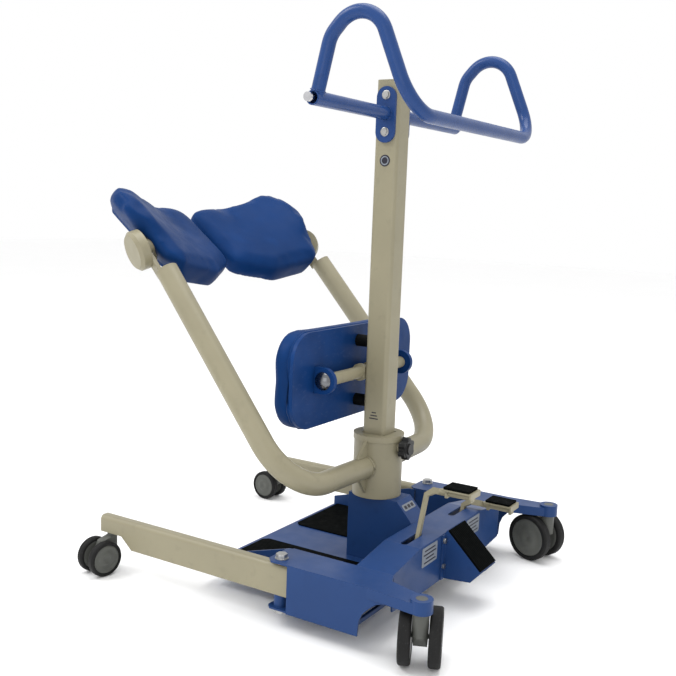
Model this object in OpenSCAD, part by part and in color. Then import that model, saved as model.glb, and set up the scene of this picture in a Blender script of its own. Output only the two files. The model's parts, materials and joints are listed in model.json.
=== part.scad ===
// Sit-to-stand patient lift: a wheeled steel base with spreading legs, a footplate, a mast with
// a looped handle and a tilting knee pad, and two seat halves that swing up on side arms.
// Millimetres, +Z up, floor at z = 0. -Y is the patient's side, +Y the carer's side and +X the
// patient's right. Lengths along Y are measured from the mast's axis; datum() then moves the
// whole lift so that the origin lies on the floor at the middle of its length.

/* [Frame] */
// Distance from the origin to the mast's axis
datum_y = 113.8; // [95:0.1:115]
// Height of the side frames' top plates
frame_top = 121; // [116:1:126]
// Height of the side frames' bottom edges above the floor
frame_bottom = 31; // [28:1:36]
// Half width over the side frames
frame_half = 311; // [305:1:320]
// Width of one side frame
frame_w = 74; // [70:1:78]
// Thickness of the folded sheet
sheet = 3; // [2:0.5:4]

/* [Cross member and pedestal] */
// Height of the cross member's flat top
cross_top = 138; // [134:1:142]
// Front face of the cross member
cross_front = 97; // [94:1:100]
// Rear face of the cross member
cross_rear = 171; // [168:1:176]
// Half length of the flat top
cross_flat = 137; // [134:1:150]
// Half width of the pedestal under the collar
pedestal_half = 29; // [29:0.5:34]
// Top of the pedestal
pedestal_top = 176; // [170:1:180]

/* [Footplate] */
// Top of the footplate
plate_top = 43; // [40:1:46]
// Front edge of the footplate
plate_front = -241; // [-250:1:-230]
// Thickness of the grip mats
mat_t = 2.5; // [2:0.5:4]

/* [Legs] */
// Distance of a leg's axis from the middle
leg_x = 290; // [288:1:291]
// Width of a leg
leg_w = 26; // [25:1:28]
// Height of a leg
leg_h = 56; // [54:1:58]
// Room between a leg and the frame's top plate
leg_drop = 5; // [2:0.5:6]
// Underside of a leg's front end
leg_end_z = 80; // [79:0.5:82]
// Front end of a leg
leg_front = -460; // [-470:1:-455]
// Position of a leg's pivot
leg_pivot_y = -26; // [-28:1:-24]
// Distance from a leg's pivot to its tail pin
tail = 74; // [70:1:78]

/* [Castors] */
// Diameter of a rear wheel
rear_wheel_d = 100; // [96:1:102]
// Diameter of a front wheel
front_wheel_d = 70; // [68:1:75]
// Position of a rear castor's stem
rear_stem = [303, 258]; // [230:1:320]
// Position of a front castor's stem
front_stem_y = -441; // [-444:1:-438]

/* [Mast] */
// Width of the square mast tube
mast_w = 50; // [48:1:50]
// Bottom end of the mast at rest
mast_bottom = 130; // [100:1:150]
// Top of the mast
mast_top = 979; // [960:1:1000]
// Outside radius of the collar
collar_r = 49; // [47:1:52]
// Top of the collar's rim
collar_top = 301; // [298:1:304]

/* [Handle] */
// Outside diameter of the handle tube
handle_d = 25; // [24:1:27]
// Height of the bars that leave the mast
bar_z = 919; // [915:1:923]
// Half length of the handle
handle_half = 268; // [262:1:272]

/* [Seat] */
// Outside diameter of a seat arm
arm_d = 43; // [42:0.5:45]
// Height of an arm where it leaves the collar
arm_z = 239; // [236:1:242]
// Thickness of a seat cushion
cushion_t = 44; // [40:1:48]
// Height of a seat's outer rim over its middle
rim_h = 42; // [20:2:46]

/* [Knee pad] */
// Half width of the knee pad
knee_half = 232; // [220:1:240]
// Height of the knee pad
knee_h = 190; // [180:1:200]
// Height of the knee pad's pivot bar
knee_z = 420; // [418:1:426]
// Distance from the mast's axis to the pivot bar
knee_y = -37.5; // [-39:0.5:-37.5]

/* [Pedals] */
// Height of the pedal rocker's shaft
shaft_z = 62; // [60:1:64]
// Tilt of the rocker at rest, with the right pedal up
rocker_tilt = 20.5; // [19:0.5:20.5]
// Radius from the shaft to the pins that drive the links
crank_r = 26; // [25:1:27]

/* [Hidden] */
$fn = 64;
gap = 0.3;
frame_in = frame_half - frame_w;
arm_bottom = rear_wheel_d + 2.5;
leg_top = frame_top - sheet - leg_drop;
leg_bottom = leg_top - leg_h;
shaft_y = 134;
pin_x = crank_r * sin(rocker_tilt);
pin_z = crank_r * cos(rocker_tilt);
tail_y = leg_pivot_y + tail;
// Seat arm: the corner of its bend, its upper end and its radius
arm_corner = [292, -9, arm_z];
arm_tip = [267, -324, 610];
arm_bend = 104;
arm_dir = (arm_tip - arm_corner) / norm(arm_tip - arm_corner);
arm_line = [[35, 0, arm_z], arm_corner, arm_tip];
// Seat swivel: its axis points up and inwards, and crosses the arm's own line
swivel_tilt = 60;
swivel_axis = [-sin(swivel_tilt), 0.763 * cos(swivel_tilt), 0.646 * cos(swivel_tilt)];
swivel_at = arm_tip + 68 * arm_dir + [4, -14, -12];
// Seat plane: middle of the inner edge, slope towards the mast and tilt up to the outside
seat_at = [0, -435, 665];
seat_down = [0, 0.8, -0.6];
seat_normal = [-0.1756, 0.590, 0.788] / norm([-0.1756, 0.590, 0.788]);
seat_out = cross(seat_down, seat_normal);
seat_corners = [[36, -58, 28], [34, 62, 26], [108, 94, 34], [226, 94, 34], [264, 20, 28],
                [272, -76, 30], [190, -66, 26]];

// ---- Helpers ----

// Moves a piece from mast coordinates to the lift's own origin
module datum() translate([0, datum_y, 0]) children();

// Mirrors a right-hand piece to the left side
module left() mirror([1, 0, 0]) children();

// Both sides of a symmetric piece
module both() { children(); left() children(); }

function unit(v) = v / norm(v);

// Draws a piece with its +Z from a towards b
module along(a, b) {
    d = b - a;
    translate(a) rotate([0, acos(d.z / norm(d)), atan2(d.y, d.x)]) children();
}

// Section of a bar of radius r, or of a tube when wall is above 0
module ring(r, wall) difference() {
    circle(r);
    if (wall > 0) circle(r - wall);
}

// Straight bar or tube from a to b
module bar(a, b, r, wall = 0) along(a, b) difference() {
    cylinder(h = norm(b - a), r = r);
    if (wall > 0) translate([0, 0, -1]) cylinder(h = norm(b - a) + 2, r = r - wall);
}

// Bend at corner b, between the lines to a and to c
module elbow(a, b, c, bend, r, wall) {
    u = unit(a - b);
    v = unit(c - b);
    half = acos(u * v) / 2;
    centre = b + unit(u + v) * bend / sin(half);
    x = unit(b + u * bend / tan(half) - centre);
    z = unit(cross(x, b + v * bend / tan(half) - centre));
    y = cross(z, x);
    multmatrix([[x.x, y.x, z.x, centre.x], [x.y, y.y, z.y, centre.y],
                [x.z, y.z, z.z, centre.z], [0, 0, 0, 1]])
        rotate_extrude(angle = 180 - 2 * half) translate([bend, 0]) ring(r, wall);
}

// Straight length that a bend at corner b takes from the lines to a and to c
function setback(a, b, c, bend) = bend / tan(acos(unit(a - b) * unit(c - b)) / 2);

// Bar or tube through the points p with the bend radii bends; the bends are drawn a little
// thinner and the straight lengths run 1 mm into them
module bent_bar(p, bends, r, wall = 0) {
    last = len(p) - 1;
    cut = [for (i = [0:last])
        i == 0 || i == last ? 0 : setback(p[i - 1], p[i], p[i + 1], bends[i - 1])];
    for (i = [0:last - 1]) {
        d = unit(p[i + 1] - p[i]);
        bar(p[i] + d * (cut[i] - (i == 0 ? 0 : 1)),
            p[i + 1] - d * (cut[i + 1] - (i == last - 1 ? 0 : 1)), r, wall);
    }
    for (i = [1:last - 1]) elbow(p[i - 1], p[i], p[i + 1], bends[i - 1], r - 0.08, wall - 0.16);
}

// Box given by its low and high corners
module block(low, high) translate(low) cube(high - low);

// Plate cut from a profile in the YZ plane, standing between x0 and x1
module yz_plate(profile, x0, x1)
    translate([x0, 0, 0]) rotate([90, 0, 90]) linear_extrude(x1 - x0) polygon(profile);

// Plate cut from a profile in the XZ plane, standing between y0 and y1
module xz_plate(profile, y0, y1)
    translate([0, y1, 0]) rotate([90, 0, 0]) linear_extrude(y1 - y0) polygon(profile);

// Cylinder along +Y
module y_rod(x, y0, y1, z, r) translate([x, y0, z]) rotate([-90, 0, 0]) cylinder(h = y1 - y0, r = r);

// Cylinder along +X
module x_rod(x0, x1, y, z, r) translate([x0, y, z]) rotate([0, 90, 0]) cylinder(h = x1 - x0, r = r);

// Cylinder along +Z
module z_rod(x, y, z0, z1, r) translate([x, y, z0]) cylinder(h = z1 - z0, r = r);

// Draws a piece in swivel coordinates: origin on the arm's line, +Z along the swivel axis,
// +X along the arm towards the seat's rear
module at_swivel() {
    x = arm_dir - (arm_dir * swivel_axis) * swivel_axis;
    ux = unit(x);
    uy = cross(unit(swivel_axis), ux);
    uz = unit(swivel_axis);
    multmatrix([[ux.x, uy.x, uz.x, swivel_at.x], [ux.y, uy.y, uz.y, swivel_at.y],
                [ux.z, uy.z, uz.z, swivel_at.z], [0, 0, 0, 1]]) children();
}

// Draws a piece in seat coordinates: +X outwards, +Y down the slope, +Z out of the seat's top
module at_seat()
    multmatrix([[seat_out.x, seat_down.x, seat_normal.x, seat_at.x],
                [seat_out.y, seat_down.y, seat_normal.y, seat_at.y],
                [seat_out.z, seat_down.z, seat_normal.z, seat_at.z], [0, 0, 0, 1]]) children();

// ---- Base ----

// Outline of the side frame's top plate, with the arm to the rear castor
module frame_plan() {
    difference() {
        union() {
            translate([frame_in, -46]) square([frame_w, 197]);
            polygon([[frame_in, 97], [frame_half, 97], [frame_half, 160], [321, 252],
                     [286, 262], [262, 182], [frame_in, 171]]);
            translate(rear_stem) circle(19);
        }
        for (x = [frame_in, frame_half]) translate([x, -46]) rotate(45)
            square([16, 16], center = true);
    }
}

module side_frame() color([0.24, 0.34, 0.62]) difference() {
    union() {
        // top plate
        translate([0, 0, frame_top - sheet]) linear_extrude(sheet) frame_plan();
        // outer wall, arched up to the castor's boss
        yz_plate([[0, frame_bottom], [145, frame_bottom], [147, 57], [153, 72], [162, 82],
                  [179, 96], [200, arm_bottom], [225, arm_bottom], [225, frame_top - sheet], [0, frame_top - sheet]],
                 frame_half - sheet, frame_half);
        // inner wall, in front of the cross member
        yz_plate([[-30, plate_top + gap], [cross_front, plate_top + gap],
                  [cross_front, frame_top - sheet], [-30, frame_top - sheet]],
                 frame_in, frame_in + sheet);
        // bottom lug under the leg's pivot
        translate([0, 0, frame_bottom]) linear_extrude(sheet) intersection() {
            frame_plan();
            translate([frame_in + sheet, -46]) square([frame_w - 2 * sheet, 62]);
        }
        // spacer tubes under and over the leg
        z_rod(leg_x, leg_pivot_y, frame_bottom + sheet - 1, leg_bottom - 0.5, 12);
        z_rod(leg_x, leg_pivot_y, leg_top + 0.5, frame_top - sheet + 1, 12);
        // walls of the rear arm
        translate([0, 0, arm_bottom]) linear_extrude(frame_top - sheet - arm_bottom) difference() {
            polygon([[frame_half - sheet, 160], [frame_half, 160], [321, 252], [286, 262],
                     [262, 182], [264, 179]]);
            polygon([[frame_half - sheet, 160], [314, 250], [289, 256], [264, 179]]);
        }
        // boss for the castor's stem
        translate([rear_stem.x, rear_stem.y, arm_bottom]) cylinder(h = 23, r = 19);
    }
    translate([rear_stem.x, rear_stem.y, 90]) cylinder(h = 32, r = 8.05);
    translate([rear_stem.x, rear_stem.y, 121.9]) cylinder(h = 4, r = 10.1);
    z_rod(leg_x, leg_pivot_y, frame_bottom - 1, frame_top + 1, 6.05);
}

module cross_member() color([0.24, 0.34, 0.62]) difference() {
    xz_plate([[-frame_in, 54], [-frame_in + 55, 49], [frame_in - 55, 49], [frame_in, 54],
              [frame_in, frame_top], [cross_flat, cross_top], [-cross_flat, cross_top],
              [-frame_in, frame_top]], cross_front, cross_rear);
    xz_plate([[-frame_in - 1, 40], [frame_in + 1, 40], [frame_in + 1, frame_top - sheet],
              [cross_flat, cross_top - sheet], [-cross_flat, cross_top - sheet],
              [-frame_in - 1, frame_top - sheet]], cross_front + sheet, cross_rear - sheet);
    // slots that the pedal levers rise through
    both() hull() for (x = [73.5, 129.5]) z_rod(x, shaft_y, cross_top - 6, cross_top + 1, 7);
    y_rod(0, cross_front - 1, cross_rear + 1, shaft_z, 6);
}

module footplate() color([0.22, 0.32, 0.60]) {
    block([-frame_in + sheet, plate_front, plate_top - sheet],
          [frame_in - sheet, cross_front, plate_top]);
    // side walls that fall away to the front
    both() yz_plate([[plate_front, plate_top - sheet], [plate_front, plate_top + 19],
                     [-46, frame_top - 3], [-30.5, frame_top - 3], [-30.5, plate_top],
                     [cross_front, plate_top], [cross_front, plate_top - sheet]],
                    frame_in - sheet, frame_in);
}

module grip_mats() color([0.06, 0.06, 0.07]) both() difference() {
    block([56, plate_front + 10, plate_top], [frame_in - sheet - 1, cross_front - 1, plate_top + mat_t]);
    translate([56, plate_front + 10, 0]) rotate(45) cube([14, 14, 200], center = true);
}

module pedestal() color([0.16, 0.25, 0.52]) difference() {
    yz_plate([[-47, plate_top], [-47, pedestal_top], [62, pedestal_top],
              [cross_front, cross_top], [cross_front, plate_top]], -pedestal_half, pedestal_half);
    yz_plate([[-44, plate_top - 1], [-44, pedestal_top - 3], [60, pedestal_top - 3],
              [cross_front - 3, cross_top + 2], [cross_front - 3, plate_top - 1]],
             -pedestal_half + 3, pedestal_half - 3);
    block([-25.4, -25.4, pedestal_top - 5], [25.4, 25.4, pedestal_top + 1]);
}

// Seat arm tube; the collar's wall is cut out of its inner end
module seat_arm() color([0.63, 0.60, 0.52]) difference() {
    bent_bar(arm_line, [arm_bend], arm_d / 2, 3);
    z_rod(0, 0, 150, 320, collar_r);
}

module collar() color([0.63, 0.60, 0.52]) difference() {
    union() {
        z_rod(0, 0, pedestal_top, collar_top - 12, collar_r);
        z_rod(0, 0, collar_top - 12, collar_top, collar_r + 1.8);
        // gussets over and under the arms
        both() difference() {
            xz_plate([[collar_r - 2, collar_top - 4], [collar_r - 2, arm_z], [84, arm_z],
                      [84, 262]], -3, 3);
            bar([35, 0, arm_z], [120, 0, arm_z], arm_d / 2);
        }
        both() difference() {
            xz_plate([[collar_r - 2, arm_z], [collar_r - 2, pedestal_top + 8], [72, 214],
                      [72, arm_z]], -3, 3);
            bar([35, 0, arm_z], [120, 0, arm_z], arm_d / 2);
        }
        // boss behind the knob
        y_rod(0, 40, 52, 277, 11);
    }
    z_rod(0, 0, pedestal_top - 1, collar_top - 12, collar_r - 4);
    block([-25.8, -25.8, collar_top - 20], [25.8, 25.8, collar_top + 1]);
    y_rod(0, 20, 60, 277, 5.05);
}

// Plastic guides that centre the mast in the collar
module mast_guides() color([0.12, 0.12, 0.13]) for (z = [pedestal_top, collar_top - 27]) difference() {
    z_rod(0, 0, z, z + 15, collar_r - 4);
    block([-25.3, -25.3, z - 1], [25.3, 25.3, z + 16]);
    y_rod(0, 20, 60, 277, 5.2);
}

// Tongue on the arm's end that carries the seat's swivel
module seat_tongue() color([0.63, 0.60, 0.52]) difference() {
    union() {
        at_swivel() {
            translate([-66, -11, -4]) cube([66, 22, 8]);
            translate([0, 0, -4]) cylinder(h = 8, r = 22);
        }
        bar(arm_tip, arm_tip + 3 * arm_dir, arm_d / 2);
    }
    at_swivel() translate([0, 0, -6]) cylinder(h = 12, r = 8.05);
}

// Round cover outside the swivel
module swivel_caps() color([0.63, 0.60, 0.52]) both() at_swivel() difference() {
    union() {
        translate([0, 0, -20]) cylinder(h = 16, r = 39);
        translate([0, 0, -26]) cylinder(h = 6, r1 = 33, r2 = 39);
    }
    translate([0, 0, -15]) cylinder(h = 12, r = 13.5);
}

module castor_caps() color([0.42, 0.43, 0.41]) both()
    translate([rear_stem.x, rear_stem.y, 122]) cylinder(h = 3.6, r = 10);

// Hexagon bolt, washer and nut through the frame and the leg's bush
module leg_pivot_bolts() color([0.75, 0.75, 0.74]) both() translate([leg_x, leg_pivot_y, 0]) {
    z_rod(0, 0, frame_bottom - 9, frame_top, 6);
    z_rod(0, 0, frame_top, frame_top + 1.6, 12);
    translate([0, 0, frame_top + 1.6]) cylinder(h = 7.5, r = 10.5, $fn = 6);
    translate([0, 0, frame_bottom - 9]) cylinder(h = 9, r = 10.5, $fn = 6);
}

module pedal_shaft() color([0.7, 0.7, 0.7]) {
    y_rod(0, cross_front, cross_rear + 3, shaft_z, 5.95);
    y_rod(0, cross_rear, cross_rear + 4, shaft_z, 9);
}

// Bracket of the foot push pad
module push_pad_bracket() color([0.20, 0.30, 0.58]) difference() {
    union() {
        both() yz_plate([[cross_rear, 50], [cross_rear, 137], [176, 145], [248, 76], [228, 54],
                         [182, 50]], 33, 36);
        yz_plate([[176, 145], [248, 76], [246, 74], [174, 143]], -33, 33);
        both() block([36, cross_rear, 50], [49, cross_rear + 3, 137]);
    }
    for (z = [76, 126]) both() y_rod(43, cross_rear - 1, cross_rear + 4, z, 3.1);
}

module push_pad_tread() color([0.05, 0.05, 0.06])
    translate([0, 176, 145]) rotate([-43.8, 0, 0]) block([-35, 2, 0.1], [35, 97, 4]);

module push_pad_bolts() color([0.75, 0.75, 0.74]) for (z = [76, 126]) both() {
    y_rod(43, cross_rear, cross_rear + 3, z, 3);
    y_rod(43, cross_rear + 3, cross_rear + 7, z, 5);
}

// ---- Legs and their drive ----

// Leg of the right side; tongue_z is the height of its tail, pin_low the lower end of its pin
module leg(tongue_z, pin_low) color([0.63, 0.60, 0.52]) difference() {
    union() {
        difference() {
            union() {
                translate([leg_x, 0, 0]) rotate([90, 0, 0]) translate([0, 0, -4])
                    linear_extrude(4 - leg_front) difference() {
                        leg_profile(0);
                        leg_profile(sheet);
                    }
                // closed front end with the seat for the castor's stem
                block([leg_x - leg_w / 2, leg_front, leg_end_z], [leg_x + leg_w / 2, leg_front + 3, leg_top - 9]);
                block([leg_x - leg_w / 2 + 2.9, leg_front + 2, leg_end_z],
                      [leg_x + leg_w / 2 - 2.9, leg_front + 56, leg_end_z + 10]);
                // block that the pivot runs in
                block([leg_x - leg_w / 2 + 2.9, leg_pivot_y - 16, leg_bottom + 2.9],
                      [leg_x + leg_w / 2 - 2.9, 4, leg_top - 2.9]);
            }
            // relief over the castor
            yz_plate([[leg_front - 1, leg_bottom - 1], [leg_front + 84, leg_bottom - 1],
                      [leg_front + 56, leg_end_z], [leg_front - 1, leg_end_z]],
                     leg_x - leg_w, leg_x + leg_w);
        }
        // tail and its pin
        block([leg_x - 10, 3, tongue_z], [leg_x + 10, tail_y + 10, tongue_z + 8]);
        z_rod(leg_x, tail_y, pin_low, tongue_z + 1, 5);
    }
    z_rod(leg_x, leg_pivot_y, leg_bottom - 1, leg_top + 1, 9);
    z_rod(leg_x, front_stem_y, leg_end_z - 1, leg_end_z + 11, 6.05);
}

// Section of the leg's tube, seen along it, inset by t
module leg_profile(t) hull() {
    translate([-leg_w / 2 + t, leg_bottom + t]) square([leg_w - 2 * t, 4]);
    for (x = [-1, 1]) translate([x * (leg_w / 2 - 9), leg_top - 9]) circle(9 - t);
}

module leg_bush() color([0.70, 0.58, 0.32]) difference() {
    z_rod(leg_x, leg_pivot_y, leg_bottom, leg_top, 9);
    z_rod(leg_x, leg_pivot_y, leg_bottom - 1, leg_top + 1, 6.05);
}

// Link from the rocker's pin to a leg's tail: x_pin is the pin's place, y and z the link's line,
// foot_z the height of the slotted foot
module link(x_pin, y, z, foot_z) color([0.55, 0.56, 0.57]) difference() {
    union() {
        block([x_pin - 9, y - 3, z - 11], [x_pin + 9, y + 3, z + 11]);
        block([x_pin + 8.5, y - 3, z - 4], [leg_x - 10, y + 3, z + 4]);
        block([leg_x - 12, tail_y - 12, foot_z - 3], [leg_x + 12, y + 3, foot_z + 3]);
    }
    hull() for (dz = [-2.5, 2.5]) y_rod(x_pin, y - 4, y + 4, z + dz, 4.6);
    hull() for (dy = [-4, 2]) z_rod(leg_x, tail_y + dy, foot_z - 4, foot_z + 4, 5.6);
}

// Side view of a pedal's lever, from the rocker's arm up to the pedal's pin
lever_side = [[shaft_y - 4, 12], [shaft_y + 4, 12], [shaft_y + 4, 119], [150, 126], [172, 126],
              [172, 138], [146, 138], [shaft_y - 4, 124]];
// Place of a pedal's pin on the rocker: sideways and above the shaft
pedal_pin = [111, 132];

// Rocker with two pedal levers, drawn level and then tilted
module pedal_rocker() color([0.63, 0.60, 0.52])
    translate([0, 0, shaft_z]) rotate([0, -rocker_tilt, 0]) difference() {
        union() {
            y_rod(0, cross_front + sheet + 4, cross_rear - sheet - 4, 0, 11);
            xz_plate([[-11, -30], [11, -30], [14, 0], [84, 14], [98, 14], [98, 34], [84, 34],
                      [12, 16], [9, 34], [-9, 34], [-12, 16], [-84, 34], [-98, 34], [-98, 14],
                      [-84, 14], [-14, 0]], shaft_y - 4, shaft_y + 4);
            both() {
                yz_plate(lever_side, 91, 99);
                block([91, 160, 127], [111, 172, 137]);
                y_rod(pedal_pin.x, 166, 234, pedal_pin.y, 6);
            }
            y_rod(0, shaft_y - 14, shaft_y, -crank_r, 4);
            y_rod(0, shaft_y, shaft_y + 14, crank_r, 4);
        }
        y_rod(0, cross_front, cross_rear, 0, 6);
    }

// Moves a pedal to its pin on side s of the tilted rocker
module at_pedal(s) translate([s * pedal_pin.x * cos(rocker_tilt) - pedal_pin.y * sin(rocker_tilt),
    0, shaft_z + s * pedal_pin.x * sin(rocker_tilt) + pedal_pin.y * cos(rocker_tilt)]) children();

// Pedal plate with its lugs and its rolled rear edge
module pedal() color([0.63, 0.60, 0.52]) difference() {
    union() {
        block([-22, 178, 9], [22, 238, 12]);
        block([-22, 235, 1], [22, 238, 12]);
        for (y = [180, 228]) block([-8, y, -8], [8, y + 5, 10]);
    }
    y_rod(0, 170, 234.6, 0, 6.05);
}

module pedal_tread() color([0.05, 0.05, 0.06]) block([-20, 182, 12], [20, 233, 16.5]);

// ---- Knob ----

module knob() color([0.13, 0.13, 0.14]) difference() {
    union() {
        y_rod(0, 54, 70, 277, 17);
        y_rod(0, 52.3, 73, 277, 11);
        for (a = [0:60:300]) y_rod(16 * sin(a), 55, 69, 277 + 16 * cos(a), 6.5);
    }
    y_rod(0, 50, 66, 277, 4.98);
}

module knob_stud() color([0.7, 0.7, 0.7]) y_rod(0, 25.6, 66, 277, 4.98);

// ---- Mast and handle ----

module mast_section(w, r) hull() for (x = [-1, 1], y = [-1, 1])
    translate([x * (w / 2 - r), y * (w / 2 - r)]) circle(r);

module mast() color([0.63, 0.60, 0.52]) difference() {
    translate([0, 0, mast_bottom]) linear_extrude(mast_top - mast_bottom) mast_section(mast_w, 8);
    translate([0, 0, mast_bottom - 1]) linear_extrude(mast_top - mast_bottom + 2)
        mast_section(mast_w - 6, 5);
    for (z = [885, 953]) x_rod(-30, 30, 0, z, 4.05);
}

module mast_cap() color([0.55, 0.53, 0.46]) {
    translate([0, 0, mast_top]) linear_extrude(3) mast_section(mast_w, 8);
    translate([0, 0, mast_top - 12]) linear_extrude(12) mast_section(mast_w - 6.2, 4.9);
}

// Bar in front of the mast that the knee pad tilts on
module knee_bar() color([0.63, 0.60, 0.52]) difference() {
    union() {
        x_rod(-158, 158, knee_y, knee_z, 12);
        for (x = [-1, 1]) translate([x * 20, 0, 0]) intersection() {
            x_rod(-5, 5, knee_y, knee_z, 17);
            block([-6, knee_y - 20, knee_z - 20], [6, -mast_w / 2, knee_z + 20]);
        }
        block([-14, knee_y + 6, knee_z - 8], [14, -mast_w / 2, knee_z + 8]);
    }
    both() x_rod(110, 160, knee_y, knee_z, 5);
}

// Right half of the handle's line, and the whole line from one side bar to the other
loop_half = [[handle_half, 0, bar_z], [handle_half, 24, 1018], [handle_half, 95, 1094],
             [handle_half, 180, 892.5]];
loop_line = concat(loop_half, [for (i = [3:-1:0]) [-handle_half, loop_half[i].y, loop_half[i].z]]);
loop_bends = [47, 51, 66, 66, 51, 47];

module handle() color([0.22, 0.36, 0.70]) {
    difference() {
        bent_bar(loop_line, loop_bends, handle_d / 2 - 0.5, 2.5);
        both() bar([31, 0, bar_z], [handle_half + 12, 0, bar_z], handle_d / 2);
    }
    both() bar([31, 0, bar_z], [handle_half + 12, 0, bar_z], handle_d / 2, 2.5);
}

module handle_plates() color([0.22, 0.36, 0.70]) both() difference() {
    hull() for (z = [885, 949]) x_rod(mast_w / 2, 31, 0, z, 20);
    for (z = [885, 953]) x_rod(mast_w / 2 - 1, 32, 0, z, 4.05);
}

// Long bolts through both plates and the mast
module handle_bolts() color([0.72, 0.72, 0.72]) for (z = [885, 953]) {
    x_rod(-31, 31, 0, z, 4);
    both() x_rod(31, 35, 0, z, 6.5);
}

// Studs at the handle's ends that a belt hooks on
module belt_studs() color([0.75, 0.75, 0.75]) both() {
    x_rod(handle_half + 12, handle_half + 22, 0, bar_z, 5);
    x_rod(handle_half + 22, handle_half + 27, 0, bar_z, 8);
}

// ---- Knee pad ----

module knee_shape(w, h, r) hull() for (x = [-1, 1], z = [-1, 1])
    translate([x * (w - r), z * (h / 2 - r)]) circle(r);

module knee_slab(w, h, r, y0, y1)
    translate([0, y1, knee_z]) rotate([90, 0, 0]) linear_extrude(y1 - y0) knee_shape(w, h, r);

module knee_board() color([0.15, 0.26, 0.55]) difference() {
    knee_slab(knee_half - 4, knee_h - 8, 56, -65, -57);
    for (z = [-60, 60]) y_rod(0, -66, -50, knee_z + z, 4.05);
}

module knee_cushion() color([0.12, 0.24, 0.52])
    knee_slab(knee_half, knee_h, 60, -102, -65.3);

// Lugs behind the board, round the pivot bar's ends
module knee_brackets() color([0.20, 0.34, 0.66]) both() difference() {
    union() {
        intersection() {
            x_rod(147, 157, knee_y, knee_z, 25);
            block([146, -57, knee_z - 30], [158, 0, knee_z + 30]);
        }
        block([147, -57, knee_z - 25], [157, knee_y, knee_z + 25]);
        block([134, -57, knee_z - 25], [157, -54, knee_z + 25]);
    }
    x_rod(130, 160, knee_y, knee_z, 12.05);
}

// Domed bolts that close the pivot bar's ends
module knee_bolts() color([0.78, 0.78, 0.78]) both() {
    x_rod(122, 158, knee_y, knee_z, 4.95);
    translate([158, knee_y, knee_z]) rotate([0, 90, 0]) rotate_extrude() intersection() {
        translate([0, -12]) circle(21);
        square([17, 20]);
    }
}

module knee_buffers() color([0.05, 0.05, 0.06]) for (z = [-60, 60]) {
    y_rod(0, -57, -31, knee_z + z, 12);
    y_rod(0, -64.9, -57, knee_z + z, 4);
}

// ---- Seat halves ----

// Rounded outline of a seat half, inset by d
module seat_plan(d) offset(delta = -d) hull() for (c = seat_corners)
    translate([c.x, c.y]) circle(c.z);

// Room that the swivel, the tongue and the arm need beside the seat
module swivel_room(clear) {
    at_swivel() translate([0, 0, -70]) cylinder(h = 70 + clear, r = 46);
    at_swivel() translate([-170, -90, -90]) cube([170, 180, 90 + clear]);
    at_swivel() translate([-190, -28, -90]) cube([138, 200, 126]);
}

module seat_board() color([0.63, 0.60, 0.52]) difference() {
    union() {
        at_seat() translate([0, 0, -cushion_t - 6]) linear_extrude(5.7) intersection() {
            seat_plan(22);
            translate([0, -150]) square([206, 300]);
        }
        at_swivel() {
            translate([0, 0, 4.3]) cylinder(h = 10, r = 15);
            translate([0, 0, -4]) cylinder(h = 12, r = 7.95);
            translate([0, 0, -14]) cylinder(h = 9.7, r = 13);
            translate([0, 0, -8]) cylinder(h = 6, r = 7.95);
        }
        // web from the hub down to the board
        difference() {
            at_seat() block([190, 44, -cushion_t - 1], [264, 58, -10]);
            swivel_room(4.3);
        }
    }
    at_swivel() translate([-200, -120, -90]) difference() {
        cube([400, 240, 94.3]);
        translate([200, 120, -1]) cylinder(h = 110, r = 16);
    }
}

module seat_cushion() color([0.12, 0.24, 0.52]) difference() {
    union() {
        at_seat() translate([0, 0, -cushion_t]) linear_extrude(cushion_t) seat_plan(0);
        // raised outer rim
        at_seat() hull() for (p = [[288, -66], [282, -6], [262, 40]])
            translate([p.x, p.y, -30]) cylinder(h = 30 + rim_h, r = 14, $fn = 32);
    }
    // underside rising towards the rim
    at_seat() translate([215, -150, -cushion_t]) rotate([0, -33, 0])
        translate([0, 0, -60]) cube([150, 300, 60]);
    swivel_room(5);
    at_swivel() translate([0, 0, 3]) cylinder(h = 11.6, r = 15.3);
    at_seat() block([189, 43, -cushion_t - 1], [265, 59, -9]);
}

// ---- Castors ----

// Castor stem and yoke: d wheel diameter, top of the yoke, s half track, t trail, a its heading
module castor_fork(at, d, yoke_top, stem_top, stem_r, hub_r, trail, a) color([0.44, 0.45, 0.42])
    translate([at.x, at.y, 0]) rotate(a) {
        z_rod(0, 0, yoke_top - 2, stem_top, stem_r);
        z_rod(0, 0, d * 0.62, yoke_top, hub_r);
        hull() {
            z_rod(0, 0, d * 0.66, yoke_top - 5, hub_r);
            z_rod(0, trail * 0.8, d * 0.66, yoke_top - 12, hub_r * 0.96);
            x_rod(-hub_r * 0.85, hub_r * 0.85, trail, d / 2, d * 0.17);
        }
        x_rod(-castor_track(d) - castor_w(d) / 2 + 2, castor_track(d) + castor_w(d) / 2 - 2,
              trail, d / 2, 3.95);
    }

// Half track and width of a wheel of diameter d
function castor_track(d) = 0.2 * d + 5;
function castor_w(d) = 0.14 * d + 7;

// One wheel of a castor, on side s
module castor_wheel(at, d, trail, a, s) color([0.10, 0.10, 0.11])
    translate([at.x, at.y, 0]) rotate(a) translate([s * castor_track(d), trail, d / 2])
        rotate([0, 90, 0]) rotate([0, 0, 90]) difference() {
            rotate_extrude() castor_half(d);
            translate([0, 0, -20]) cylinder(h = 40, r = 4);
            translate([0, 0, castor_w(d) / 2 - 2]) cylinder(h = 3, r = d * 0.41);
            translate([0, 0, -castor_w(d) / 2 - 1]) cylinder(h = 3, r = d * 0.41);
        }

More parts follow.
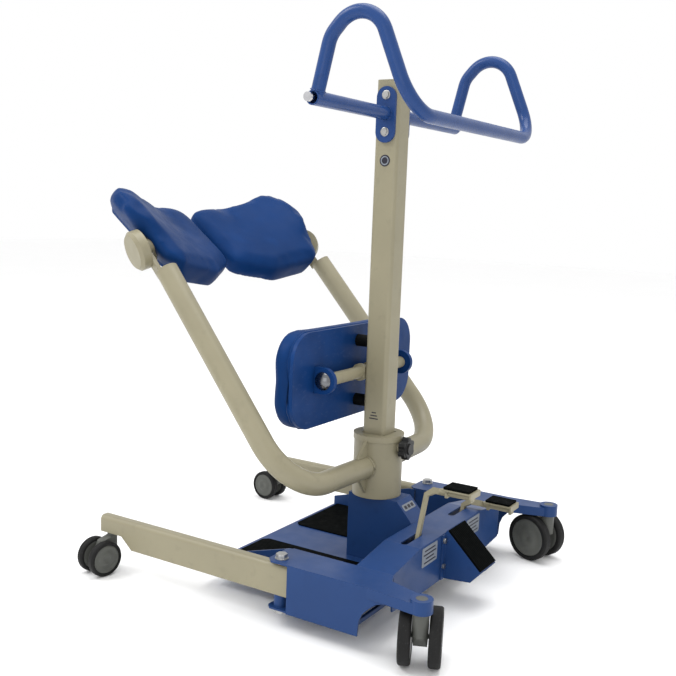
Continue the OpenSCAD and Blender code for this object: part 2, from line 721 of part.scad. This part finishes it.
// Half section of a wheel with a rounded tread
module castor_half(d) intersection() {
    translate([0, -castor_w(d) / 2]) square([d / 2, castor_w(d)]);
    hull() for (y = [-1, 1]) translate([d / 2 - 5, y * (castor_w(d) / 2 - 5)]) {
        circle(5);
        translate([-d / 2 + 5, 0]) square([1, 5], center = true);
        translate([-d / 2 + 5, y * 4.9]) square([1, 0.2], center = true);
    }
}

// Headings of the castors as they stand
rear_right = [rear_stem, rear_wheel_d, 26, 113];
rear_left = [[-rear_stem.x, rear_stem.y], rear_wheel_d, 26, 163];
front_right = [[leg_x, front_stem_y], front_wheel_d, 30, -101];
front_left = [[-leg_x, front_stem_y], front_wheel_d, 30, 176];

module fork(c, yoke_top, stem_top, stem_r, hub_r)
    castor_fork(c[0], c[1], yoke_top, stem_top, stem_r, hub_r, c[2], c[3]);
module wheel(c, s) castor_wheel(c[0], c[1], c[2], c[3], s);
module rear_fork(c) fork(c, arm_bottom - 1, 121.5, 7.98, 13.5);
module front_fork(c) fork(c, leg_end_z - 1, leg_end_z + 10, 5.98, 9.8);

datum() side_frame();  // right_side_frame
datum() left() side_frame();  // left_side_frame
datum() cross_member();
datum() footplate();
datum() grip_mats();
datum() pedestal();
datum() collar();
datum() mast_guides();
datum() seat_arm();  // right_seat_arm
datum() left() seat_arm();  // left_seat_arm
datum() seat_tongue();  // right_seat_tongue
datum() left() seat_tongue();  // left_seat_tongue
datum() swivel_caps();
datum() castor_caps();
datum() leg_pivot_bolts();
datum() pedal_shaft();
datum() push_pad_bracket();
datum() push_pad_tread();
datum() push_pad_bolts();
datum() leg(leg_bottom + 3, 33);  // right_leg
datum() left() leg(93, 81);  // left_leg
datum() leg_bush();  // right_leg_bush
datum() left() leg_bush();  // left_leg_bush
datum() link(pin_x, shaft_y - 9, shaft_z - pin_z, 38);  // right_link
datum() left() link(pin_x, shaft_y + 9, shaft_z + pin_z, 86);  // left_link
datum() pedal_rocker();
datum() at_pedal(1) pedal();  // right_pedal
datum() at_pedal(-1) pedal();  // left_pedal
datum() at_pedal(1) pedal_tread();  // right_pedal_tread
datum() at_pedal(-1) pedal_tread();  // left_pedal_tread
datum() knob();
datum() knob_stud();
datum() mast();
datum() mast_cap();
datum() knee_bar();
datum() handle();
datum() handle_plates();
datum() handle_bolts();
datum() belt_studs();
datum() knee_board();
datum() knee_cushion();
datum() knee_brackets();
datum() knee_bolts();
datum() knee_buffers();
datum() seat_board();  // right_seat_board
datum() seat_cushion();  // right_seat_cushion
datum() left() seat_board();  // left_seat_board
datum() left() seat_cushion();  // left_seat_cushion
datum() rear_fork(rear_right);  // rear_right_fork
datum() rear_fork(rear_left);  // rear_left_fork
datum() front_fork(front_right);  // front_right_fork
datum() front_fork(front_left);  // front_left_fork
datum() wheel(rear_right, 1);  // rear_right_wheel_a
datum() wheel(rear_right, -1);  // rear_right_wheel_b
datum() wheel(rear_left, 1);  // rear_left_wheel_a
datum() wheel(rear_left, -1);  // rear_left_wheel_b
datum() wheel(front_right, 1);  // front_right_wheel_a
datum() wheel(front_right, -1);  // front_right_wheel_b
datum() wheel(front_left, 1);  // front_left_wheel_a
datum() wheel(front_left, -1);  // front_left_wheel_b
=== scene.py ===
import json
import math

import bmesh
import bpy
from mathutils import Matrix, Vector


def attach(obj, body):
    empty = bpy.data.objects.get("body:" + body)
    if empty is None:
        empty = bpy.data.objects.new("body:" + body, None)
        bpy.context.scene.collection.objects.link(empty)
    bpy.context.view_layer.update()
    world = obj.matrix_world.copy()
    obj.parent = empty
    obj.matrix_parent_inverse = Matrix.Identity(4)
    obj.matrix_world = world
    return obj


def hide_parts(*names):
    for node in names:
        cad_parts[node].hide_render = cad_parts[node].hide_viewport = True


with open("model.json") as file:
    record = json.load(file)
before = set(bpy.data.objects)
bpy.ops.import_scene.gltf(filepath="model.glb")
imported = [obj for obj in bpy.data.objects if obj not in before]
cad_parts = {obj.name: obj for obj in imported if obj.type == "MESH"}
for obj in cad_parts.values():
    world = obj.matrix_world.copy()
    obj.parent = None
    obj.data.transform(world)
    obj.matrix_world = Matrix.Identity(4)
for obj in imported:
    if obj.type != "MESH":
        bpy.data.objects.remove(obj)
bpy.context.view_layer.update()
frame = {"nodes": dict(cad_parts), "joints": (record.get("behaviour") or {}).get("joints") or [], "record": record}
nodes = frame["nodes"]

# ---- Places in the row frame, in metres ----
DATUM_Y = 0.1138          # the mast's axis
SIDES = ((1, "right"), (-1, "left"))


def at(x, y, z):
    """A place given in millimetres from the mast's axis."""
    return Vector((x / 1000, y / 1000 + DATUM_Y, z / 1000))


# ---- Materials ----

def new_material(name):
    material = bpy.data.materials.new(name)
    material.use_nodes = True
    tree = material.node_tree
    return material, tree, tree.nodes["Principled BSDF"]


def add_node(tree, kind, **inputs):
    node = tree.nodes.new(kind)
    for key, value in inputs.items():
        node.inputs[key.replace("_", " ")].default_value = value
    return node


def coordinates(tree, stretch=(1, 1, 1)):
    """Object coordinates, stretched along the axes."""
    source = tree.nodes.new("ShaderNodeTexCoord")
    mapping = tree.nodes.new("ShaderNodeMapping")
    mapping.inputs["Scale"].default_value = stretch
    tree.links.new(source.outputs["Object"], mapping.inputs["Vector"])
    return mapping.outputs["Vector"]


def noise(tree, vector, scale, detail=4.0):
    node = add_node(tree, "ShaderNodeTexNoise", Scale=scale, Detail=detail)
    tree.links.new(vector, node.inputs["Vector"])
    return node.outputs["Fac"]


def ramp(tree, factor, stops):
    """Colour ramp through (position, colour) stops."""
    node = tree.nodes.new("ShaderNodeValToRGB")
    elements = node.color_ramp.elements
    while len(elements) < len(stops):
        elements.new(0.5)
    for element, (position, colour) in zip(elements, stops):
        element.position = position
        element.color = (*colour, 1) if len(colour) == 3 else colour
    tree.links.new(factor, node.inputs["Fac"])
    return node.outputs["Color"]


def mix(tree, factor, first, second):
    node = tree.nodes.new("ShaderNodeMix")
    node.data_type = "RGBA"
    tree.links.new(factor, node.inputs["Factor"])
    for socket, value in (("A", first), ("B", second)):
        target = [s for s in node.inputs if s.name == socket and s.type == "RGBA"][0]
        if isinstance(value, tuple):
            target.default_value = (*value, 1)
        else:
            tree.links.new(value, target)
    return [s for s in node.outputs if s.type == "RGBA"][0]


def shade(colour, amount):
    return tuple(min(1.0, c * amount) for c in colour)


def bumps(tree, bsdf, layers, round_edge=0.0):
    """Chains (height, strength, distance) layers into the normal, over softly rounded edges."""
    normal = None
    if round_edge:
        bevel = tree.nodes.new("ShaderNodeBevel")
        bevel.inputs["Radius"].default_value = round_edge
        normal = bevel.outputs["Normal"]
    for height, strength, distance in layers:
        node = add_node(tree, "ShaderNodeBump", Strength=strength, Distance=distance)
        tree.links.new(height, node.inputs["Height"])
        if normal:
            tree.links.new(normal, node.inputs["Normal"])
        normal = node.outputs["Normal"]
    tree.links.new(normal, bsdf.inputs["Normal"])


def edge_wear_and_highlight_mask(tree, radius):
    """A mask of the sharp outer edges, broken up by noise, where chips and painted edge highlights go."""
    bevel = tree.nodes.new("ShaderNodeBevel")
    bevel.inputs["Radius"].default_value = radius
    geometry = tree.nodes.new("ShaderNodeNewGeometry")
    dot = tree.nodes.new("ShaderNodeVectorMath")
    dot.operation = "DOT_PRODUCT"
    tree.links.new(bevel.outputs["Normal"], dot.inputs[0])
    tree.links.new(geometry.outputs["True Normal"], dot.inputs[1])
    edge = ramp(tree, dot.outputs["Value"], [(0.84, (1, 1, 1)), (0.93, (0, 0, 0))])
    patches = ramp(tree, noise(tree, coordinates(tree), 75, 6), [(0.52, (0, 0, 0)), (0.62, (0.8,) * 3)])
    both = tree.nodes.new("ShaderNodeMath")
    both.operation = "MULTIPLY"
    tree.links.new(edge, both.inputs[0])
    tree.links.new(patches, both.inputs[1])
    return both.outputs["Value"]


def powder_coat(name, colour, roughness, chip_and_highlight_colour, gloss=0.18):
    """Satin powder coat: fine orange peel, cloudy colour and chipped edges, whose lighter colour on the blue
    paints is also a painted edge highlight.
    """
    material, tree, bsdf = new_material(name)
    vector = coordinates(tree)
    cloud = ramp(tree, noise(tree, vector, 9), [(0.3, shade(colour, 0.93)), (0.7, shade(colour, 1.05))])
    grime = ramp(tree, noise(tree, vector, 42, 8), [(0.34, (1, 1, 1)), (0.42, (0, 0, 0))])
    dusty = mix(tree, grime, cloud, shade(colour, 0.93))
    # Edge colour: chipped paint, and on the blue paints a lighter colour that is a painted highlight along the
    # edges
    chips_and_highlights = edge_wear_and_highlight_mask(tree, 0.0009)
    tree.links.new(mix(tree, chips_and_highlights, dusty, chip_and_highlight_colour), bsdf.inputs["Base Color"])
    rough = ramp(tree, noise(tree, vector, 26),
                 [(0.3, (roughness - 0.05,) * 3), (0.7, (roughness + 0.07,) * 3)])
    tree.links.new(rough, bsdf.inputs["Roughness"])
    bsdf.inputs["Specular IOR Level"].default_value = gloss
    peel, waves = noise(tree, vector, 700, 2), noise(tree, vector, 60, 3)
    bumps(tree, bsdf, [(peel, 0.10, 0.0004), (waves, 0.05, 0.001)], 0.0012)
    return material


def upholstery(name, colour):
    """Wipe-clean vinyl skin over foam: leather-like grain and soft colour shifts."""
    material, tree, bsdf = new_material(name)
    vector = coordinates(tree)
    cloud = ramp(tree, noise(tree, vector, 7, 5), [(0.3, shade(colour, 0.86)), (0.7, shade(colour, 1.12))])
    grain = add_node(tree, "ShaderNodeTexVoronoi", Scale=420)
    tree.links.new(vector, grain.inputs["Vector"])
    pores = ramp(tree, grain.outputs["Distance"], [(0.0, (0, 0, 0)), (0.45, (1, 1, 1))])
    rubbed = ramp(tree, noise(tree, vector, 19, 6), [(0.55, (0, 0, 0)), (0.72, (0.5, 0.5, 0.5))])
    tree.links.new(mix(tree, rubbed, cloud, shade(colour, 1.3)), bsdf.inputs["Base Color"])
    rough = ramp(tree, noise(tree, vector, 31, 5), [(0.3, (0.36,) * 3), (0.7, (0.50,) * 3)])
    tree.links.new(rough, bsdf.inputs["Roughness"])
    bsdf.inputs["Specular IOR Level"].default_value = 0.05
    bumps(tree, bsdf, [(pores, 0.16, 0.0005), (noise(tree, vector, 45, 5), 0.10, 0.0015)])
    return material


def bare_metal(name, colour, roughness):
    """Plated or ground steel with fine streaks and dulled patches."""
    material, tree, bsdf = new_material(name)
    streaks = noise(tree, coordinates(tree, (30, 30, 260)), 6, 6)
    patches = noise(tree, coordinates(tree), 55, 5)
    tree.links.new(ramp(tree, patches, [(0.3, shade(colour, 0.8)), (0.7, shade(colour, 1.08))]),
                   bsdf.inputs["Base Color"])
    tree.links.new(ramp(tree, streaks, [(0.3, (roughness,) * 3), (0.7, (roughness + 0.16,) * 3)]),
                   bsdf.inputs["Roughness"])
    bsdf.inputs["Metallic"].default_value = 1.0
    bumps(tree, bsdf, [(streaks, 0.12, 0.0003)], 0.0006)
    return material


def moulded(name, colour, roughness, grain=900.0, gloss=0.25):
    """Moulded plastic or rubber with a fine spark-eroded grain and scuffs."""
    material, tree, bsdf = new_material(name)
    vector = coordinates(tree)
    cloud = ramp(tree, noise(tree, vector, 14, 5), [(0.3, shade(colour, 0.85)), (0.7, shade(colour, 1.15))])
    scuffs = ramp(tree, noise(tree, coordinates(tree, (1, 5, 2)), 90, 8),
                  [(0.6, (0, 0, 0)), (0.7, (0.6,) * 3)])
    lifted = tuple(c + 0.02 for c in colour)
    tree.links.new(mix(tree, scuffs, cloud, lifted), bsdf.inputs["Base Color"])
    rough = ramp(tree, noise(tree, vector, 33),
                 [(0.3, (roughness - 0.07,) * 3), (0.7, (roughness + 0.08,) * 3)])
    tree.links.new(rough, bsdf.inputs["Roughness"])
    bsdf.inputs["Specular IOR Level"].default_value = gloss
    bumps(tree, bsdf, [(noise(tree, vector, grain, 2), 0.2, 0.0004)], 0.0008)
    return material


WAVE_PER_METRE = 0.31416  # scale of Blender's wave texture that repeats once a metre


def ribbed_rubber(name, colour, pitch):
    """Black mat with ribs across X every pitch metres, dusty in the grooves."""
    material, tree, bsdf = new_material(name)
    vector = coordinates(tree)
    wave = add_node(tree, "ShaderNodeTexWave", Scale=WAVE_PER_METRE / pitch)
    wave.bands_direction = "X"
    tree.links.new(vector, wave.inputs["Vector"])
    dust = ramp(tree, wave.outputs["Fac"], [(0.0, shade(colour, 1.7)), (0.45, colour)])
    spots = ramp(tree, noise(tree, vector, 50, 7), [(0.45, (0, 0, 0)), (0.75, (0.5,) * 3)])
    tree.links.new(mix(tree, spots, dust, shade(colour, 1.8)), bsdf.inputs["Base Color"])
    tree.links.new(ramp(tree, noise(tree, vector, 70), [(0.3, (0.68,) * 3), (0.7, (0.88,) * 3)]),
                   bsdf.inputs["Roughness"])
    bsdf.inputs["Specular IOR Level"].default_value = 0.02
    bumps(tree, bsdf, [(wave.outputs["Fac"], 0.4, 0.0010), (noise(tree, vector, 800, 2), 0.25, 0.0005)])
    return material


BLUE = (0.013, 0.043, 0.143)          # base
HANDLE_BLUE = (0.014, 0.047, 0.165)   # handle and its plates
BEIGE = (0.245, 0.222, 0.146)         # mast, arms and legs
ROYAL = (0.004, 0.028, 0.112)         # pads
BLACK = (0.0014, 0.0018, 0.0018)      # rubber
FINISH = {
    # The chip colours of the two blue paints are lighter than the paint: painted edge highlights as well as chips
    "blue_paint": powder_coat("paint_blue", BLUE, 0.36, (0.10, 0.13, 0.22)),
    "handle_blue": powder_coat("paint_handle_blue", HANDLE_BLUE, 0.26, (0.12, 0.14, 0.22), 0.22),
    "beige_paint": powder_coat("paint_beige", BEIGE, 0.40, (0.12, 0.11, 0.09), 0.4),
    "blue_board": moulded("board_blue", shade(ROYAL, 1.15), 0.40, 500.0, 0.09),
    "blue_upholstery": upholstery("vinyl_blue", ROYAL),
    "black_rubber": ribbed_rubber("mat_rubber", BLACK, 0.006),
    "black_plastic": moulded("plastic_black", (0.014, 0.014, 0.014), 0.42),
    "castor_grey": moulded("plastic_grey", (0.080, 0.083, 0.075), 0.42),
    "wheel_black": moulded("tyre_black", (0.010, 0.010, 0.010), 0.60, 500.0, 0.15),
    "zinc": bare_metal("steel_zinc", (0.42, 0.42, 0.41), 0.28),
    "chrome": bare_metal("steel_chrome", (0.62, 0.62, 0.64), 0.12),
    "bronze": bare_metal("bronze", (0.40, 0.25, 0.09), 0.35),
}
PLAIN_RUBBER = moulded("rubber_plain", BLACK, 0.7, 600.0, 0.1)
DARK_CHROME = bare_metal("steel_dark_chrome", (0.16, 0.165, 0.175), 0.16)
LABEL = moulded("label_film", (0.20, 0.22, 0.25), 0.35, 300.0)
LABEL_DARK = moulded("label_print", (0.02, 0.02, 0.03), 0.35, 300.0)


def paint(obj, material):
    obj.data.materials.clear()
    obj.data.materials.append(material)


SLOT_OF = {part["node"]: part["material_slot"] for part in frame["record"]["subparts"]}
for name, obj in nodes.items():
    paint(obj, FINISH[SLOT_OF[name]])
paint(nodes["knee_buffers"], PLAIN_RUBBER)
paint(nodes["knee_bolts"], DARK_CHROME)


# ---- Pieces ----

def finish_piece(name, build, body, slot, material=None, smooth=True):
    """Turns a built mesh into a named piece that rides on a body and takes its finish from a slot."""
    bmesh.ops.recalc_face_normals(build, faces=build.faces)
    mesh = bpy.data.meshes.new(name)
    build.to_mesh(mesh)
    build.free()
    obj = bpy.data.objects.new(name, mesh)
    bpy.context.scene.collection.objects.link(obj)
    if smooth:
        for polygon in mesh.polygons:
            polygon.use_smooth = True
    paint(obj, material or FINISH[slot])
    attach(obj, body)


def frame_of(axis):
    """A rotation whose Z is the given axis."""
    return Vector(axis).normalized().to_track_quat("Z", "Y").to_matrix().to_4x4()


def lathe(name, profile, place, axis, body, slot, material=None, steps=48):
    """A turned piece: (radius, height) points in millimetres round an axis."""
    build = bmesh.new()
    rings = []
    for radius, height in profile:
        if radius == 0:
            rings.append([build.verts.new((0, 0, height / 1000))])
            continue
        rings.append([build.verts.new((radius / 1000 * math.cos(2 * math.pi * i / steps),
                                       radius / 1000 * math.sin(2 * math.pi * i / steps),
                                       height / 1000)) for i in range(steps)])
    for low, high in zip(rings, rings[1:]):
        for i in range(steps):
            corners = [low[i % len(low)], low[(i + 1) % len(low)],
                       high[(i + 1) % len(high)], high[i % len(high)]]
            unique = list(dict.fromkeys(corners))
            if len(unique) > 2:
                build.faces.new(unique)
    build.transform(Matrix.Translation(place) @ frame_of(axis))
    finish_piece(name, build, body, slot, material)


def bead(name, points, radius, body, slot):
    """A round bead swept along a closed row of points, slightly uneven like a weld or a piping."""
    build = bmesh.new()
    count, sides = len(points), 8
    rings = []
    for i, point in enumerate(points):
        turn = frame_of(points[(i + 1) % count] - points[i - 1])
        swell = radius * (1 + 0.14 * math.sin(i * 2.4))
        angles = (2 * math.pi * k / sides for k in range(sides))
        rings.append([build.verts.new(point + turn @ Vector((swell * math.cos(a), swell * math.sin(a), 0)))
                      for a in angles])
    for i in range(count):
        low, high = rings[i], rings[(i + 1) % count]
        for k in range(sides):
            build.faces.new((low[k], low[(k + 1) % sides], high[(k + 1) % sides], high[k]))
    finish_piece(name, build, body, slot)


def rounded_outline(half_x, half_y, radius, count):
    """Points of a rectangle about the origin, with count points round each corner."""
    points = []
    for sx, sy, start in ((1, 1, 0), (-1, 1, 90), (-1, -1, 180), (1, -1, 270)):
        for step in range(count):
            a = math.radians(start + step * 90 / (count - 1))
            points.append((sx * (half_x - radius) + radius * math.cos(a),
                           sy * (half_y - radius) + radius * math.sin(a)))
    return points


def circle(centre, axis, radius, count=48):
    """Points of a circle round an axis."""
    turn = frame_of(axis)
    return [centre + turn @ Vector((radius * math.cos(2 * math.pi * i / count),
                                    radius * math.sin(2 * math.pi * i / count), 0)) for i in range(count)]


def plate(name, centre, right, up, size, thick, body, slot, material, corner=0.003):
    """A thin plate with rounded corners and a soft rim, standing on centre."""
    right, up = Vector(right).normalized(), Vector(up).normalized()
    out = right.cross(up)
    build = bmesh.new()
    outline = rounded_outline(size[0] / 2, size[1] / 2, corner, 5)
    rings = []
    for shrink, height in ((1.0, 0.0), (1.0, 0.7), (0.985, 1.0)):
        rings.append([build.verts.new(centre + right * x * shrink + up * y * shrink + out * thick * height)
                      for x, y in outline])
    for low, high in zip(rings, rings[1:]):
        for i in range(len(low)):
            build.faces.new((low[i], low[(i + 1) % len(low)], high[(i + 1) % len(low)], high[i]))
    build.faces.new(rings[-1])
    build.faces.new(list(reversed(rings[0])))
    finish_piece(name, build, body, slot, material, smooth=False)


# ---- Cushions ----
VOXEL = 0.005
PRESSURE = 4.0
CLOTH_FRAMES = 20
FLAT = 0.005              # a back nearer the board than this lies on it
SEAT_THICK = 0.044
KNEE_BACK_Y, KNEE_Z = -67, 420   # back and middle of the knee cushion, in millimetres


def smooth(obj, steps, factor):
    modifier = obj.modifiers.new("smooth", "SMOOTH")
    modifier.factor = factor
    modifier.iterations = steps


def voxel_remesh(obj):
    remesh = obj.modifiers.new("remesh", "REMESH")
    remesh.mode = "VOXEL"
    remesh.voxel_size = VOXEL
    apply_modifiers(obj)


def cushion(name, source, body, swell, round_steps, settle_steps, rest, local=Matrix(), shape=None):
    """A foam cushion grown from its CAD solid: rounded, puffed by cloth pressure, capped and settled.

    No point swells further than swell. rest is a point and a direction of the board, where the
    cushion's back lies flat. local is the cushion's own frame, which its voxels line up with, and
    shape moulds its points there.
    """
    mesh = nodes[source].data.copy()
    mesh.transform(local.inverted() @ nodes[source].matrix_world)
    obj = bpy.data.objects.new(name, mesh)
    bpy.context.scene.collection.objects.link(obj)
    bpy.context.view_layer.objects.active = obj
    voxel_remesh(obj)
    if shape:
        for vertex, normal in [(v, v.normal.copy()) for v in obj.data.vertices]:
            vertex.co = shape(vertex.co, normal)
        voxel_remesh(obj)
    smooth(obj, round_steps, 0.6)
    apply_modifiers(obj)
    obj.data.transform(local)
    start = [v.co.copy() for v in obj.data.vertices]
    cloth = obj.modifiers.new("cloth", "CLOTH")
    cloth.settings.use_pressure = True
    cloth.settings.uniform_pressure_force = PRESSURE
    cloth.settings.effector_weights.gravity = 0.0
    cloth.settings.quality = 5
    cloth.settings.tension_stiffness = 15
    cloth.settings.bending_stiffness = 6
    for step in range(1, CLOTH_FRAMES + 1):
        bpy.context.scene.frame_set(step)
    apply_modifiers(obj)
    bpy.context.scene.frame_set(1)
    for vertex, before in zip(obj.data.vertices, start):
        move = vertex.co - before
        if move.length > swell:
            vertex.co = before + move * (swell / move.length)
    smooth(obj, settle_steps, 0.5)
    apply_modifiers(obj)
    for vertex in obj.data.vertices:
        gap = (vertex.co - rest[0]).dot(rest[1])
        if gap < FLAT:
            vertex.co -= rest[1] * gap
    fine = obj.modifiers.new("fine", "SUBSURF")
    fine.levels = fine.render_levels = 1
    apply_modifiers(obj)
    for polygon in obj.data.polygons:
        polygon.use_smooth = True
    paint(obj, FINISH["blue_upholstery"])
    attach(obj, body)
    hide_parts(source)


def apply_modifiers(obj):
    """Bakes the modifiers into the mesh."""
    graph = bpy.context.evaluated_depsgraph_get()
    mesh = bpy.data.meshes.new_from_object(obj.evaluated_get(graph))
    obj.modifiers.clear()
    obj.data = mesh


# Seat plane, in metres: middle of the inner edge and its three directions
SEAT_AT = at(0, -435, 665)
SEAT_DOWN = Vector((0, 0.8, -0.6))
SEAT_NORMAL = Vector((-0.1756, 0.590, 0.788)).normalized()
SEAT_OUT = SEAT_DOWN.cross(SEAT_NORMAL)


def seat_side(vector, side):
    """A direction or place of the right seat half, mirrored for the left one."""
    return Vector((vector.x * side, vector.y, vector.z))


def ease(value):
    """Runs smoothly from 0 to 1 as value does."""
    value = min(1.0, max(0.0, value))
    return value * value * (3 - 2 * value)


RIM_HEIGHT, DISH_DEPTH, VALLEY_DEPTH = 0.027, 0.004, 0.008
OUTER_CENTRE, OUTER_RADIUS = Vector((0.212, -0.032)), 0.076   # outer rear corner, seen from above
INNER_REACH = 0.014       # how far the inner rear corner is drawn back


def seat_top(out, down):
    """Height of a seat's top: it curls up to the outer rim, and a valley runs back over the rear edge."""
    rise = min(1.0, max(0.0, (out - 0.12) / 0.16))
    rim = RIM_HEIGHT * rise ** 1.6 * (1 - 0.6 * ease((down - 0.01) / 0.08))
    dish = DISH_DEPTH * math.exp(-((out - 0.13) / 0.09) ** 2 - (down / 0.08) ** 2)
    valley = VALLEY_DEPTH * math.exp(-((out - 0.115) / 0.036) ** 2) * ease((0.05 - down) / 0.14)
    return rim - dish - valley


def seat_shape(side):
    """Moulds a seat half: its top, its broad outer rear corner and its fuller inner rear corner."""
    def shape(point, normal):
        out, down, up = point.x * side, point.y, point.z
        top = seat_top(out, down)
        if up > top or normal.z > 0.3:
            up = top
        reach = Vector((out, down)) - OUTER_CENTRE
        if reach.x > 0 and reach.y < 0 and reach.length > OUTER_RADIUS:
            out, down = OUTER_CENTRE + reach * (OUTER_RADIUS / reach.length)
        down -= INNER_REACH * ease((-0.02 - down) / 0.06) * (1 - ease((out - 0.09) / 0.10))
        return Vector((out * side, down, up))
    return shape


for side, hand in SIDES:
    normal = seat_side(SEAT_NORMAL, side)
    under = seat_side(SEAT_AT - SEAT_NORMAL * SEAT_THICK, side)
    local = Matrix((seat_side(SEAT_OUT, side) * side, SEAT_DOWN, normal)).transposed().to_4x4()
    cushion(hand + "_seat_pad", hand + "_seat_cushion", hand + "_seat", 0.006, 12, 14,
            (under, normal), Matrix.Translation(SEAT_AT) @ local, seat_shape(side))
KNEE_BACK = at(0, KNEE_BACK_Y, KNEE_Z)
cushion("knee_pad_cushion", "knee_cushion", "knee_pad", 0.005, 6, 12, (KNEE_BACK, Vector((0, -1, 0))))


bead("knee_pad_welt", [at(x, KNEE_BACK_Y, KNEE_Z + z) for x, z in rounded_outline(226, 89, 56, 10)], 0.0038,
     "knee_pad", "blue_upholstery")

# ---- Castors ----
for joint in frame["joints"]:
    if "_roll_" not in joint["name"]:
        continue
    body = joint["child"]
    centre, axis = Vector(joint["pos_m"]), Vector(joint["axis"])
    outer = 1 if body.endswith("_a") else -1
    big = body.startswith("rear")
    half, rim = (8.6, 40) if big else (6.5, 28)      # half width and radius of the wheel's disc
    for face in (1, -1):
        profile = [(rim, half - 0.2), (rim - 2, half + 1.2), (rim - 5, half + 0.6),
                   (rim * 0.55, half + 0.2), (rim * 0.5, half + 1.6),
                   (6.5, half + 1.9), (5, half + 0.9), (0, half + 1.1)]
        if face != outer:
            profile = profile[:4] + [(6, half + 0.2)]
        lathe("%s_cap_%s" % (body, "out" if face == outer else "in"), profile, centre, axis * face, body,
              "castor_grey")

# ---- Bolts, welds and marks ----
UP = (0, 0, 1)
REARWARD = ((-1, 0, 0), UP)                      # right and up of a plate that faces the rear
SLOPED = ((-1, 0, 0), (0, -0.683, 0.741))        # the same on the pedestal's sloping face
OUTWARD = ((0, 1, 0), UP)                        # the same on the mast's right face
HANDLE_Z, BADGE_Z = 919, 832

for side, hand in SIDES:
    for z in (885, 953):
        lathe("%s_handle_bolt_ring_%d" % (hand, z), [(8.6, 0), (8.6, 0.9), (7.4, 1.3), (6.6, 1.3)],
              at(side * 31, 0, z), (side, 0, 0), "mast", "zinc")
    bead(hand + "_arm_weld", circle(at(side * 52, -0.5, 239), (side, 0, 0), 0.0222), 0.0016,
         "base", "beige_paint")
    bead(hand + "_handle_weld", circle(at(side * 31.6, 0, HANDLE_Z), (side, 0, 0), 0.0131), 0.0013,
         "mast", "handle_blue")
    bead(hand + "_loop_weld", circle(at(side * 268, 2.8, 931.3), (0, 0.235, 0.97), 0.0124), 0.0013,
         "mast", "handle_blue")
    plate(hand + "_data_plate", at(side * 98, 171, 116), *REARWARD, (0.062, 0.036), 0.0008,
          "base", "zinc", LABEL)
    for row, width in enumerate((0.044, 0.052, 0.034, 0.048)):
        plate("%s_data_bar_%d" % (hand, row), at(side * 98, 171.8, 127 - 7.5 * row), *REARWARD,
              (width, 0.0026), 0.0003, "base", "black_plastic", LABEL_DARK, 0.001)
plate("pedestal_plate", at(0, 74, 162.3), *SLOPED, (0.046, 0.014), 0.0008, "base", "zinc", LABEL)
for spot in (-13, 0, 13):
    plate("pedestal_block_%d" % (spot + 13), at(spot, 74.6, 163.0), *SLOPED, (0.009, 0.007),
          0.0003, "base", "black_plastic", LABEL_DARK, 0.001)
lathe("mast_badge", [(11, 0), (11, 0.4), (10.4, 0.6), (0, 0.6)], at(25, 0, BADGE_Z), (1, 0, 0),
      "mast", "black_plastic", LABEL_DARK)
lathe("mast_badge_ring", [(8.5, 0), (8.5, 0.35), (6.2, 0.35), (6.2, 0)], at(25.6, 0, BADGE_Z), (1, 0, 0),
      "mast", "zinc", LABEL)
for row in range(3):
    plate("mast_mark_%d" % row, at(25, 0, 332 + 6 * row), *OUTWARD, (0.020 - 0.005 * row, 0.0022),
          0.0003, "mast", "black_plastic", LABEL_DARK, 0.0008)

# ---- Camera, light and floor ----
bpy.context.scene.view_settings.view_transform = "Standard"
camera_data = bpy.data.cameras.new("camera")
camera_data.lens = 49.48
camera_data.sensor_width = 36
camera = bpy.data.objects.new("camera", camera_data)
bpy.context.scene.collection.objects.link(camera)
right = Vector((-0.5267, 0.8491, 0.0378))
ahead = Vector((-0.8443, -0.5176, -0.1386)).normalized()
right = (right - ahead * right.dot(ahead)).normalized()
upward = right.cross(ahead)
turn = Matrix((right, upward, -ahead)).transposed().to_4x4()
camera.matrix_world = Matrix.Translation(at(1591, 871, 740)) @ turn
bpy.context.scene.camera = camera


def soft_light(name, place, target, size, power):
    data = bpy.data.lights.new(name, "AREA")
    data.shape = "SQUARE"
    data.size = size
    data.energy = power
    obj = bpy.data.objects.new(name, data)
    bpy.context.scene.collection.objects.link(obj)
    obj.matrix_world = Matrix.Translation(place) @ frame_of(Vector(place) - Vector(target))


soft_light("key", (1.4, -1.6, 2.6), (0, 0, 0.5), 1.2, 34)
soft_light("fill", (2.9, 0.9, 1.3), (0, 0, 0.4), 2.0, 16)
soft_light("top", (-0.2, 0.2, 3.2), (0, 0, 0), 2.0, 52)
world = bpy.data.worlds.new("studio")
world.use_nodes = True
world.node_tree.nodes["Background"].inputs["Color"].default_value = (1, 1, 1, 1)
world.node_tree.nodes["Background"].inputs["Strength"].default_value = 1.0
bpy.context.scene.world = world

floor_build = bmesh.new()
bmesh.ops.create_grid(floor_build, x_segments=8, y_segments=8, size=12)
floor_mesh = bpy.data.meshes.new("floor")
floor_build.to_mesh(floor_mesh)
floor_build.free()
floor = bpy.data.objects.new("floor", floor_mesh)
floor.location.z = -0.0002
bpy.context.scene.collection.objects.link(floor)
floor_material, floor_tree, floor_bsdf = new_material("floor_white")
tone = ramp(floor_tree, noise(floor_tree, coordinates(floor_tree), 2),
            [(0.3, (0.98,) * 3), (0.7, (0.99,) * 3)])
floor_tree.links.new(tone, floor_bsdf.inputs["Base Color"])
floor_bsdf.inputs["Roughness"].default_value = 0.7
paint(floor, floor_material)
